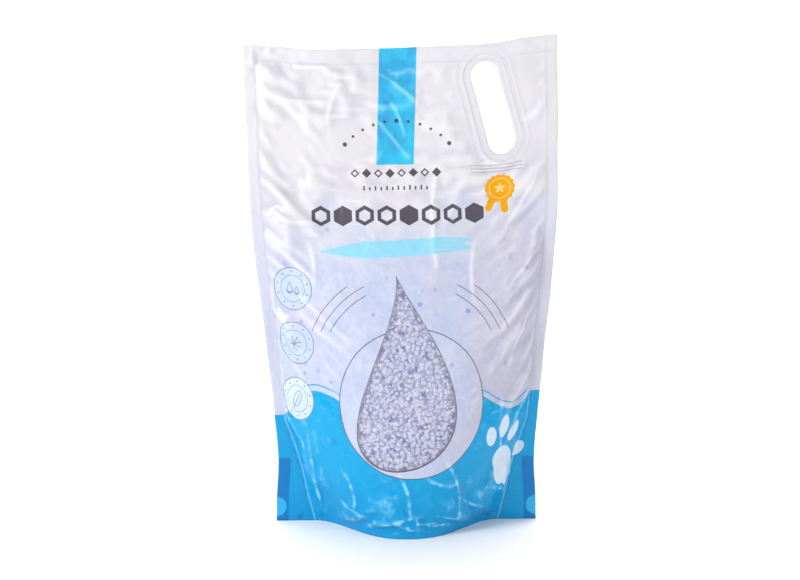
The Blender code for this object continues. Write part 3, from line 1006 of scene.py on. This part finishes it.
def blue_field(finish, colours, x, y, place):
    """The blue print: it darkens downwards, carries painted shade in spots where granules press into it, and its
    corners are welded.
    """
    shade = finish.noise(place, 0.02, 2.0)
    low = ((1.0 - y / 130.0) * 0.5 + (shade - 0.5) * 0.9).clamped()
    blue = finish.mix(low, tuple(colours.blue), tuple(colours.deep_blue))
    # Dark spots of painted shade where granules press into the film.
    cells = finish.cells(finish.place(x + 19.0, y), 0.060)
    pick = finish.node("ShaderNodeSeparateColor", {}, {"Color": cells.socket("Color")})
    size = pick.term("Red").ramp(0.5, 1.0) * 0.30
    pressed_spot_shade = ((size - cells.term("Distance")) * 6.0).clamped() * 0.55
    blue = finish.mix(pressed_spot_shade, blue, (0.0, 0.15, 0.45))
    # Painted highlights on the blue's ridges and painted shade in its valleys, broken into patches so they read as
    # glints.
    painted_light_patches = 0.25 + finish.noise(place, 0.13, 2.0).ramp(0.40, 0.62) * 0.85
    blue = painted_crease_light(finish, blue, painted_light_patches, (0.32, 0.70, 0.86), (0.0, 0.17, 0.47), 0.9)
    weld = abs(x) - (105.5 + y * 0.27).low(132.5)
    blue = finish.mix((1.0 - abs(weld) / 1.4).clamped() * 0.55, blue, (0.25, 0.62, 0.85))
    band = (abs(x) - 131.0).edge(0.5) * (62.0 - y).edge(0.5)
    notches = (NOTCH_RADIUS - finish.distance(finish.place(abs(x), y), (142.5, NOTCH_HEIGHT))).edge(0.4)
    blue = finish.mix(band * 0.80, blue, (0.0, 0.13, 0.42))
    return finish.mix(band * notches, blue, (0.02, 0.36, 0.66))


def front_material(colours):
    finish = Finish("printed_film")
    u, x, y, place = film_places(finish)
    base, filled = frosted(finish, colours, x, y, place, 0.0)
    top = wave_height(finish, u)
    line = (0.62 - abs(y - top - 5.6)).edge(0.4) * (1.0 - abs(x).ramp(128.0, 131.0))
    printed = (top - y).edge(0.5).high(line)
    window, halo, art_ink = drop_art(finish, place, x, y)
    icons, icon_ink = icon_inks(finish, place, x, y)
    stripe = (17.0 - abs(x + 1.6 + (451.0 - y) * 0.055)).edge(0.5) * (y - 345.0).edge(0.5)
    base = weld_shade(finish, x, y, base, printed.high(stripe))
    base = finish.mix(printed * (1.0 - halo), base, blue_field(finish, colours, x, y, place))
    # The stripe's blue with painted fold shade and sheen: darker and lighter patches from noise, then painted
    # highlights on ridges and painted shade in valleys.
    folds = finish.noise(finish.place(x, y * 0.6), 0.045, 3.0, 0.6)
    stripe_colour_and_fold_shade = finish.mix(folds.ramp(0.35, 0.62), (0.02, 0.30, 0.56), (0.02, 0.44, 0.68))
    stripe_colour_and_fold_shade = painted_crease_light(finish, stripe_colour_and_fold_shade, 1.0, (0.32, 0.68, 0.84), (0.01, 0.22, 0.48), 0.8)
    base = finish.mix(stripe * 0.97, base, stripe_colour_and_fold_shade)
    base = finish.mix(brush_mask(finish, x, y) * 0.92, base, tuple(colours.cyan))
    base = finish.mix(icons * 0.55, base, (0.42, 0.54, 0.72))
    base = finish.mix(disc_mask(finish, place, ICONS[2], 19.6) * 0.75, base, (0.55, 0.62, 0.72))
    base = finish.mix(icon_ink * 0.85, base, (0.10, 0.15, 0.26))
    rosette, rosette_white = rosette_mask(finish, x, y, (88.0, 319.0))
    base = finish.mix(rosette, base, tuple(colours.amber))
    base = finish.mix(rosette * rosette_white * 0.7, base, (0.80, 0.62, 0.30))
    base = finish.mix(paw_mask(finish, x, y) * 0.90, base, (0.60, 0.69, 0.78))
    rows = (0.5 - abs((y - 335.6) - ((y - 335.6) / 3.2 + 0.5).floor() * 3.2)).edge(0.4)
    small = rows * (24.0 - abs(x - 85.0)).edge(0.5) * (4.4 - abs(y - 338.8)).edge(0.5)
    base = finish.mix(small * 0.35, base, tuple(colours.ink))
    ink = headline_mask(finish, place, x, y).high(art_ink)
    base = finish.mix(ink * 0.93, base, tuple(colours.ink))
    bump = film_bump(finish, x, y, place, filled)
    rough = 0.10 + finish.noise(place, 0.03, 2.0) * 0.14 + filled * 0.02
    clear = window * (1.0 - art_ink) * 0.80
    return film_shader(finish, base, bump, rough, clear)


def back_material(colours):
    finish = Finish("plain_film")
    u, x, y, place = film_places(finish)
    base, filled = frosted(finish, colours, x, y, place, 57.0)
    top = wave_height(finish, 1.0 - u)
    line = (0.62 - abs(y - top - 5.6)).edge(0.4) * (1.0 - abs(x).ramp(128.0, 131.0))
    printed = (top - y).edge(0.5).high(line)
    base = weld_shade(finish, x, y, base, printed)
    base = finish.mix(printed, base, blue_field(finish, colours, x, y, place))
    bump = film_bump(finish, x, y, place, filled)
    rough = 0.10 + finish.noise(place, 0.03, 2.0) * 0.14
    return film_shader(finish, base, bump, rough)


# ---------------------------------------------------------------- granules


def granule_material(colours):
    finish = Finish("granules")
    tone = finish.node("ShaderNodeAttribute", {"attribute_name": "tone"}, {}).term("Fac")
    place = finish.node("ShaderNodeTexCoord", {}, {}).socket("Object")
    cloud = finish.noise(place, 700.0, 2.0)
    pale = finish.mix((tone * 0.9 + (cloud - 0.5) * 0.5).clamped(), (0.74, 0.71, 0.88), tuple(colours.granule))
    violet = finish.mix(cloud, tuple(colours.violet), (0.26, 0.20, 0.60))
    base = finish.mix((tone - 1.5).edge(0.1), pale, violet)
    bump = finish.node("ShaderNodeBump", {}, {"Height": cloud, "Strength": 0.4, "Distance": 0.0002})
    sockets = {
        "Base Color": base,
        "Roughness": 0.32,
        "Normal": bump.socket("Normal"),
        "Subsurface Weight": 0.0,
        "Specular IOR Level": 0.45,
    }
    return finish.output(finish.node("ShaderNodeBsdfPrincipled", {}, sockets).socket("BSDF"))


def crystal_shape(random):
    """Points and faces of one broken crystal: an icosahedron with its corners moved."""
    work = bmesh.new()
    bmesh.ops.create_icosphere(work, subdivisions=1, radius=1.0)
    points = np.array([vert.co[:] for vert in work.verts])
    faces = np.array([[vert.index for vert in face.verts] for face in work.faces])
    work.free()
    points = points * random.uniform(0.72, 1.12, (len(points), 1))
    return points * random.uniform(0.75, 1.2, 3), faces


def turn_matrix(random):
    q = random.standard_normal(4)
    w, x, y, z = q / np.linalg.norm(q)
    return np.array(
        [
            [1 - 2 * (y * y + z * z), 2 * (x * y - z * w), 2 * (x * z + y * w)],
            [2 * (x * y + z * w), 1 - 2 * (x * x + z * z), 2 * (y * z - x * w)],
            [2 * (x * z - y * w), 2 * (y * z + x * w), 1 - 2 * (x * x + y * y)],
        ]
    )


def make_crystals(film, sizes):
    """Crystals packed in two layers behind the window."""
    random = np.random.default_rng(11)
    shapes = [crystal_shape(random) for _ in range(12)]
    points, faces, tones = [], [], []
    count = 0
    normal = grid_normals(film.points)
    pitch = sizes.granule * 0.74
    for layer in (0, 1):
        for s in np.arange(-0.060, 0.066, pitch):
            for t in np.arange(0.060, 0.250, pitch):
                a = s + random.uniform(-0.6, 0.6) * pitch + layer * pitch / 2
                b = t + random.uniform(-0.6, 0.6) * pitch + layer * pitch / 2
                i = int(round((a - film.flat[0]) / (film.flat[1] - film.flat[0])))
                j = int(round(b / (film.along[1] - film.along[0])))
                place = film_point(film, a, b)
                violet = random.random() < 0.045
                size = sizes.granule / 2 * random.uniform(0.62, 1.28) * (1.3 if violet else 1.0)
                depth = 0.0007 + size * 1.2 + layer * 0.0026
                centre = (place + normal[i, j] * depth) * (1.0, -1.0, 1.0)
                shape, corners = shapes[random.integers(len(shapes))]
                points.append(shape @ turn_matrix(random).T * size + centre)
                faces.append(corners + count)
                count += len(shape)
                tones.append(np.full(len(shape), 2.0 if violet else random.uniform(0.15, 1.0)))
    mesh = bpy.data.meshes.new("crystals")
    mesh.from_pydata(np.concatenate(points).tolist(), [], np.concatenate(faces).tolist())
    store(mesh, "tone", np.concatenate(tones))
    mesh.update()
    return new_object("crystals", mesh)


def film_point(film, s, t):
    """A point of the relaxed film at a flat place."""
    x = (s - film.flat[0]) / (film.flat[1] - film.flat[0])
    y = t / (film.along[1] - film.along[0])
    i, j = int(x), int(y)
    fx, fy = x - i, y - j
    p = film.points
    low = p[i, j] * (1 - fx) + p[i + 1, j] * fx
    high = p[i, j + 1] * (1 - fx) + p[i + 1, j + 1] * fx
    return low * (1 - fy) + high * fy


def make_bed(node):
    """The body of granules behind the crystals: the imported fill, drawn in and roughened."""
    mesh = bpy.data.meshes.new("granule_bed")
    work = bmesh.new()
    work.from_mesh(frame["nodes"][node].data if isinstance(frame["nodes"], dict) else bpy.data.objects[node].data)
    bmesh.ops.remove_doubles(work, verts=work.verts, dist=1e-6)
    bmesh.ops.subdivide_edges(work, edges=work.edges, cuts=2, use_grid_fill=True)
    bmesh.ops.triangulate(work, faces=work.faces)
    work.normal_update()
    random = np.random.default_rng(5)
    for vert in work.verts:
        vert.co -= vert.normal * (0.0028 + 0.0009 * random.random())
        vert.co.x *= 0.965
        vert.co.y *= 0.965
        vert.co.z = max(vert.co.z, 0.0015)
    work.to_mesh(mesh)
    work.free()
    store(mesh, "tone", np.random.default_rng(6).uniform(0.1, 0.8, len(mesh.vertices)))
    return new_object("granule_bed", mesh)


# ---------------------------------------------------------------- operators


FILMS = {}


def finish_piece(piece, material, slot, *nodes):
    piece.data.materials.clear()
    piece.data.materials.append(material)
    if nodes:
        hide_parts(*nodes)
    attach(piece, "root")


class POUCH_OT_front(bpy.types.Operator):
    """Makes the printed front film with its clear window"""

    bl_idname = "pouch.front"
    bl_label = "Front film"

    def execute(self, context):
        piece, film = make_film("front_film", -1.0, FRONT_FOLDS, FRONT_CREASES, 3, context.scene.pouch_sizes)
        FILMS["front"] = film
        finish_piece(piece, front_material(context.scene.pouch_colours), "printed_film", "front_panel")
        return {"FINISHED"}


class POUCH_OT_back(bpy.types.Operator):
    """Makes the back film"""

    bl_idname = "pouch.back"
    bl_label = "Back film"

    def execute(self, context):
        piece, _ = make_film("back_film", 1.0, BACK_FOLDS, BACK_CREASES, 23, context.scene.pouch_sizes)
        finish_piece(piece, back_material(context.scene.pouch_colours), "plain_film", "back_panel")
        return {"FINISHED"}


class POUCH_OT_granules(bpy.types.Operator):
    """Makes the granules behind the window"""

    bl_idname = "pouch.granules"
    bl_label = "Granules"

    def execute(self, context):
        material = granule_material(context.scene.pouch_colours)
        bed = make_bed("litter_fill")
        finish_piece(bed, material, "granules", "litter_fill")
        crystals = make_crystals(FILMS["front"], context.scene.pouch_sizes)
        finish_piece(crystals, material, "granules", "litter_fill")
        return {"FINISHED"}


class POUCH_OT_gusset(bpy.types.Operator):
    """Finishes the bottom gusset's film"""

    bl_idname = "pouch.gusset"
    bl_label = "Gusset"

    def execute(self, context):
        colours = context.scene.pouch_colours
        finish = Finish("gusset_film")
        place = finish.node("ShaderNodeTexCoord", {}, {}).socket("Object")
        shade = finish.noise(place, 60.0, 3.0)
        base = finish.mix(shade, tuple(colours.blue), tuple(colours.deep_blue))
        bump = finish.node("ShaderNodeBump", {}, {"Height": finish.noise(place, 160.0, 3.0), "Distance": 0.0004})
        sockets = {"Base Color": base, "Roughness": 0.25 + shade * 0.1, "Normal": bump.socket("Normal")}
        material = finish.output(finish.node("ShaderNodeBsdfPrincipled", {}, sockets).socket("BSDF"))
        node = bpy.data.objects["bottom_gusset"]
        node.data.materials.clear()
        node.data.materials.append(material)
        return {"FINISHED"}


def add_light(name, place, aim, size, power, tint=(1.0, 1.0, 1.0)):
    data = bpy.data.lights.new(name, "AREA")
    data.shape = "RECTANGLE"
    data.size, data.size_y = size
    data.energy = power
    data.color = tint
    lamp = new_object(name, data)
    lamp.location = place
    lamp.rotation_euler = (Vector(aim) - Vector(place)).to_track_quat("-Z", "Y").to_euler()
    return lamp


def make_sweep():
    """A pale floor that curves up into a backdrop."""
    radius, depth, width, height = 1.2, 2.4, 5.0, 3.2
    profile = [(-3.0, 0.0), (0.0, 0.0), (depth - radius, 0.0)]
    for k in range(1, 13):
        turn = math.pi / 2 * k / 12
        profile.append((depth - radius + radius * math.sin(turn), radius - radius * math.cos(turn)))
    profile.append((depth, height))
    points = [(x, y, z) for y, z in profile for x in (-width, width)]
    faces = [(2 * k, 2 * k + 1, 2 * k + 3, 2 * k + 2) for k in range(len(profile) - 1)]
    mesh = bpy.data.meshes.new("floor")
    mesh.from_pydata(points, [], faces)
    mesh.shade_smooth()
    floor = new_object("floor", mesh)
    finish = Finish("pale_floor")
    sockets = {"Base Color": (0.94, 0.94, 0.945, 1.0), "Roughness": 0.8, "Specular IOR Level": 0.1}
    mesh.materials.append(finish.output(finish.node("ShaderNodeBsdfPrincipled", {}, sockets).socket("BSDF")))
    return floor


class POUCH_OT_stage(bpy.types.Operator):
    """Makes the pale floor, the soft lights and the camera"""

    bl_idname = "pouch.stage"
    bl_label = "Stage"

    def execute(self, context):
        make_sweep()
        world = bpy.data.worlds.new("studio")
        world.use_nodes = True
        world.node_tree.nodes["Background"].inputs["Color"].default_value = (1.0, 1.0, 1.0, 1.0)
        world.node_tree.nodes["Background"].inputs["Strength"].default_value = 0.30
        context.scene.world = world
        add_light("key_light", (-1.25, -0.85, 0.95), (0, 0, 0.2), (0.5, 0.8), 22.0)
        add_light("fill_light", (1.3, -1.0, 0.7), (0, 0, 0.2), (0.4, 1.0), 7.5)
        add_light("left_strip", (-0.8, -0.95, 0.40), (0, 0, 0.15), (0.06, 0.9), 1.8)
        add_light("right_strip", (0.75, -1.05, 0.45), (0, 0, 0.15), (0.06, 0.9), 1.8)
        add_light("top_light", (0.0, 0.2, 1.9), (0, 0, 0.0), (1.4, 0.9), 6.0)
        add_light("backdrop_light", (0.0, 0.9, 2.6), (0, 2.3, 0.7), (3.0, 0.8), 70.0)
        data = bpy.data.cameras.new("camera")
        data.lens = 50.0
        data.sensor_width = 36.0
        camera = new_object("camera", data)
        aim = Vector((-0.0062, 0.0, 0.2219))
        rise, swing, reach = math.radians(7.85), math.radians(-1.38), 1.035
        away = Vector((math.sin(swing) * math.cos(rise), -math.cos(swing) * math.cos(rise), math.sin(rise)))
        camera.location = aim + away * reach
        camera.rotation_euler = (-away).to_track_quat("-Z", "Y").to_euler()
        context.scene.camera = camera
        context.scene.view_settings.view_transform = "Standard"
        return {"FINISHED"}


class POUCH_PT_panel(bpy.types.Panel):
    """The pouch's sizes, colours and steps"""

    bl_label = "Pouch"
    bl_idname = "POUCH_PT_panel"
    bl_space_type = "VIEW_3D"
    bl_region_type = "UI"
    bl_category = "Pouch"

    def draw(self, context):
        for group in (context.scene.pouch_sizes, context.scene.pouch_colours):
            for name in group.__annotations__:
                self.layout.prop(group, name)
        for step in STEPS:
            self.layout.operator(step.bl_idname)


STEPS = [POUCH_OT_front, POUCH_OT_back, POUCH_OT_granules, POUCH_OT_gusset, POUCH_OT_stage]
CLASSES = [PouchSizes, PouchColours, *STEPS, POUCH_PT_panel]


def register():
    for one in CLASSES:
        bpy.utils.register_class(one)
    bpy.types.Scene.pouch_sizes = bpy.props.PointerProperty(type=PouchSizes)
    bpy.types.Scene.pouch_colours = bpy.props.PointerProperty(type=PouchColours)


def unregister():
    del bpy.types.Scene.pouch_colours
    del bpy.types.Scene.pouch_sizes
    for one in reversed(CLASSES):
        bpy.utils.unregister_class(one)


def main():
    register()
    for step in STEPS:
        group, name = step.bl_idname.split(".")
        getattr(getattr(bpy.ops, group), name)()


if __name__ == "__main__":
    main()
